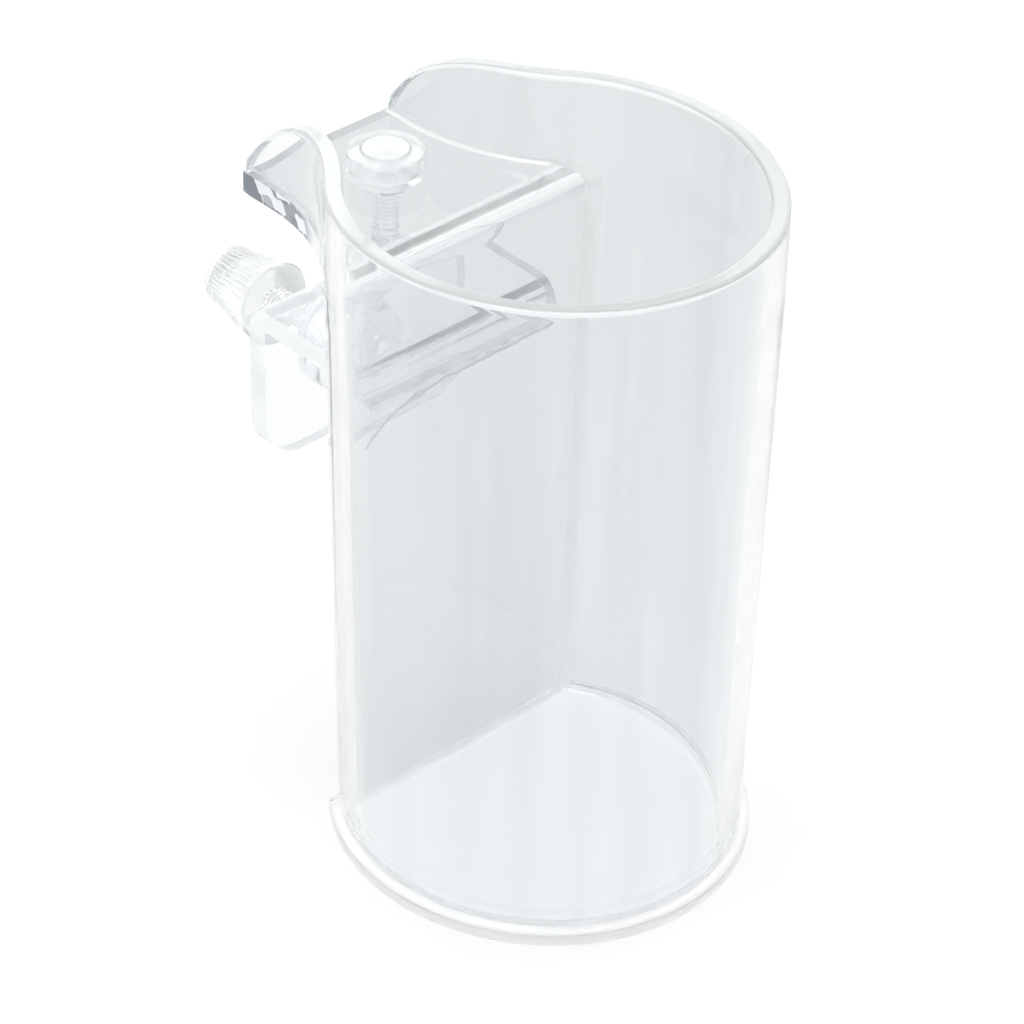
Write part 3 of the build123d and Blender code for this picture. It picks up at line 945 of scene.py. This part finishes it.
def bead(name, path, node, legs, uneven, material=cement_clear):
    """Cement fillet with a hollow face, along a path of (corner, direction one, direction two)."""
    builder = bmesh.new()
    rings = []
    for corner, one, two in path:
        swell = 1.0 + uneven * wobble(corner, 320.0)
        long_one = one * legs[0] * swell
        long_two = two * legs[1] * swell
        middle = (long_one + long_two) * 0.36
        ring = [corner, corner + long_one, corner + middle, corner + long_two]
        rings.append([builder.verts.new(p) for p in ring])
    for a, b in zip(rings, rings[1:]):
        stitch(builder, a + a[:1], b + b[:1])
    builder.faces.new(rings[0])
    builder.faces.new(rings[-1])
    made = make_object(name, builder, material)
    smooth_by_angle(made, 60)
    if node:
        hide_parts(node)
    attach(made, "root")
    return made


BEAD = 1.1 * MM
CORNER_BEAD = 1.6 * MM
FLAP_BEAD = 2.4 * MM
up = Vector((0, 0, 1))


def foot_path(inset, sign, end_y):
    """Path round the wall's foot; sign is +1 outside the wall and -1 inside it."""
    a, b = semi_axes(BASE_TOP, inset)
    end = math.asin(end_y / b)
    path = []
    for t in spread(-math.pi - end, end, 181):
        normal = Vector((math.cos(t) / a, math.sin(t) / b, 0)).normalized() * sign
        corner = Vector((a * math.cos(t), b * math.sin(t), foot)) + normal * SKIN_GAP
        path.append((corner, normal, up))
    return path


def upright_path(side):
    """Path up the corner between the wall's inner face and the back plate."""
    path = []
    for z in spread(BASE_TOP + BEAD, BEND_START - 1 * MM, 60):
        a, b = semi_axes(z, WALL)
        x = a * math.sqrt(1 - (butt / b) ** 2) - SKIN_GAP
        slope = Vector((butt * a * a / (b * b), -x, 0)).normalized()
        corner = Vector((side * (x - 0.05 * MM), butt - 0.05 * MM, z))
        path.append((corner, Vector((-side, 0, 0)), Vector((side * slope.x, slope.y, 0))))
    return path


def straight_path(start, end, one, two, count):
    """Path along a straight corner."""
    return [(start.lerp(end, k / (count - 1)), one, two) for k in range(count)]


bead("foot_bead_outer", foot_path(0.0, 1, butt), "foot_cement_outer", (BEAD, 0.7 * BEAD), 0.25)
bead("foot_bead_inner", foot_path(WALL, -1, butt - BEAD), "foot_cement_inner", (BEAD, 0.7 * BEAD), 0.25)
inner_half = half_width_bowl(butt, BASE_TOP, WALL) - BEAD
bead("plate_bead",
     straight_path(Vector((-inner_half, butt, foot)), Vector((inner_half, butt, foot)),
                   Vector((0, -1, 0)), up, 80), "plate_cement", (BEAD, 0.9 * BEAD), 0.25)
bead("corner_bead_left", upright_path(-1), None, (CORNER_BEAD, CORNER_BEAD), 0.12)
bead("corner_bead_right", upright_path(1), "corner_cement", (CORNER_BEAD, CORNER_BEAD), 0.12)


def wing_path(side):
    """Path along the foot of a wing on the flange."""
    path = []
    for y in spread(bend_end, FLANGE_REAR - 0.5 * MM, 60):
        x = half_width_wing(y, WALL) - SKIN_GAP
        path.append((Vector((side * x, y, FLANGE_TOP + SKIN_GAP)), Vector((-side, 0, 0)), up))
    return path


bead("wing_bead_left", wing_path(-1), None, (0.8 * MM, 0.6 * MM), 0.2)
bead("wing_bead_right", wing_path(1), "wing_cement", (0.8 * MM, 0.6 * MM), 0.2)
flap_bottom = bracket_hi.z - FLAP_DEPTH
bead_half = bracket_hi.x - FLAP_CORNER
bead("bracket_bead",
     straight_path(Vector((-bead_half, PLATE_REAR + SKIN_GAP, flap_bottom - SKIN_GAP)),
                   Vector((bead_half, PLATE_REAR + SKIN_GAP, flap_bottom - SKIN_GAP)),
                   Vector((0, 1, 0)), -up, 60),
     "bracket_cement", (FLAP_BEAD, 0.6 * FLAP_BEAD), 0.4, screw_clear)


# Cement squeezed out below the flap, on the plate's rear face: a thread that sags at one end.
SQUEEZED_HALF = 27.0 * MM                   # half its length
SQUEEZED_TOP = flap_bottom - 1.5 * MM       # where it runs level
SQUEEZED_SAG = 9.0 * MM                     # how far it has run down at its left end
SQUEEZED_FADE = 7.0 * MM                    # length over which that sag levels out
SQUEEZED_RADIUS = 0.42 * MM
DROP_X = -12.5 * MM                         # a drop that set part of the way along
DROP_SWELL = 0.7 * MM
DROP_SPREAD = 1.5 * MM
SQUEEZED_STEPS = 75
SQUEEZED_SIDES = 10


def make_squeezed():
    """Flattened irregular thread of cement, running along the plate's rear face."""
    builder = bmesh.new()
    rings = []
    for step in range(SQUEEZED_STEPS + 1):
        x = SQUEEZED_HALF * (2 * step / SQUEEZED_STEPS - 1)
        z = SQUEEZED_TOP - SQUEEZED_SAG * math.exp(-(x + SQUEEZED_HALF) / SQUEEZED_FADE)
        z += 0.4 * MM * wobble((x, 0, z), 420.0)
        r = SQUEEZED_RADIUS + DROP_SWELL * math.exp(-((x - DROP_X) / DROP_SPREAD) ** 2)
        ring = []
        for k in range(SQUEEZED_SIDES):
            turn = math.pi * k / (SQUEEZED_SIDES - 1)
            y = PLATE_REAR + SKIN_GAP + 0.7 * r * math.sin(turn)
            ring.append(builder.verts.new((x, y, z + r * math.cos(turn))))
        rings.append(ring)
    for one, two in zip(rings, rings[1:]):
        stitch(builder, one + one[:1], two + two[:1])
    builder.faces.new(rings[0])
    builder.faces.new(rings[-1])
    made = make_object("squeezed_cement", builder, cement_clear)
    smooth_by_angle(made, 60)
    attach(made, "root")


make_squeezed()


# ---------------------------------------------------------------- floor, light, camera
FLOOR_DROP = 0.2 * MM         # keeps the floor off the base's underside


def make_floor():
    """Plain pale floor."""
    builder = bmesh.new()
    bmesh.ops.create_grid(builder, x_segments=8, y_segments=8, size=6.0)
    made, tree, shader, _ = principled("floor_white")
    shader.inputs["Base Color"].default_value = (0.93, 0.93, 0.93, 1.0)
    shader.inputs["Specular IOR Level"].default_value = 0.1
    tree.links.new(speckle(tree, 3.0, 2.0, 0.86, 0.94), shader.inputs["Roughness"])
    plane = make_object("floor", builder, made)
    plane.location.z = -FLOOR_DROP


def make_world(strength):
    """Even, almost white surroundings, as in a light tent."""
    world = bpy.data.worlds.new("studio")
    bpy.context.scene.world = world
    world.use_nodes = True
    tree = world.node_tree
    tree.nodes.clear()
    out = tree.nodes.new("ShaderNodeOutputWorld")
    glow = tree.nodes.new("ShaderNodeBackground")
    glow.inputs["Strength"].default_value = strength
    coords = tree.nodes.new("ShaderNodeTexCoord")
    split = tree.nodes.new("ShaderNodeSeparateXYZ")
    ramp = tree.nodes.new("ShaderNodeValToRGB")
    ramp.color_ramp.elements[0].position = 0.0
    ramp.color_ramp.elements[0].color = (0.88, 0.89, 0.90, 1)
    ramp.color_ramp.elements[1].position = 0.8
    ramp.color_ramp.elements[1].color = (1.0, 1.0, 1.0, 1)
    tree.links.new(coords.outputs["Generated"], split.inputs["Vector"])
    tree.links.new(split.outputs["Z"], ramp.inputs["Fac"])
    tree.links.new(ramp.outputs["Color"], glow.inputs["Color"])
    tree.links.new(glow.outputs["Background"], out.inputs["Surface"])


def softbox(name, place, aim, width, height, power):
    """Large soft lamp."""
    lamp = bpy.data.lights.new(name, "AREA")
    lamp.shape = "RECTANGLE"
    lamp.size = width
    lamp.size_y = height
    lamp.energy = power
    made = bpy.data.objects.new(name, lamp)
    made.location = place
    made.rotation_euler = (Vector(aim) - Vector(place)).to_track_quat("-Z", "Y").to_euler()
    bpy.context.scene.collection.objects.link(made)


CAMERA_AZIMUTH = 44.11         # degrees
CAMERA_ELEVATION = 35.81
CAMERA_ROLL = 1.35
CAMERA_DISTANCE = 0.9028       # metres from the cup's middle
CAMERA_LENS = 149.75
AIM_LEFT = 7.48 * MM
AIM_DOWN = 0.3 * MM


def make_camera():
    """Camera above the front left of the bowl, looking down at it."""
    azimuth, elevation = math.radians(CAMERA_AZIMUTH), math.radians(CAMERA_ELEVATION)
    toward = Vector((math.sin(azimuth) * math.cos(elevation), math.cos(azimuth) * math.cos(elevation),
                     -math.sin(elevation)))
    right = toward.cross(Vector((0, 0, 1))).normalized()
    above = right.cross(toward)
    centre = Vector((0, 0, RIM / 2))
    look = (toward * CAMERA_DISTANCE - right * AIM_LEFT - above * AIM_DOWN).normalized()
    lens = bpy.data.cameras.new("camera")
    lens.sensor_width = 36.0
    lens.lens = CAMERA_LENS
    lens.clip_start = 0.02
    lens.clip_end = 30.0
    made = bpy.data.objects.new("camera", lens)
    roll = Matrix.Rotation(math.radians(CAMERA_ROLL), 4, "Z")
    turn = look.to_track_quat("-Z", "Y").to_matrix().to_4x4() @ roll
    made.matrix_world = Matrix.Translation(centre - toward * CAMERA_DISTANCE) @ turn
    bpy.context.scene.collection.objects.link(made)
    bpy.context.scene.camera = made


make_floor()
make_world(0.97)
softbox("key", (-0.9, -0.2, 1.5), (0, 0, 0.05), 0.6, 0.6, 5)
softbox("fill", (1.2, -0.6, 1.2), (0, 0, 0.08), 0.3, 1.0, 2)
softbox("rear", (0.2, 1.4, 1.1), (0, 0, 0.1), 1.0, 0.4, 2)
make_camera()
CLEAR_BOUNCES = 40            # enough for light to cross every wall of the cup
scene = bpy.context.scene
scene.view_settings.view_transform = "Standard"
scene.cycles.max_bounces = CLEAR_BOUNCES
scene.cycles.transmission_bounces = CLEAR_BOUNCES
scene.cycles.glossy_bounces = CLEAR_BOUNCES
scene.cycles.transparent_max_bounces = 24
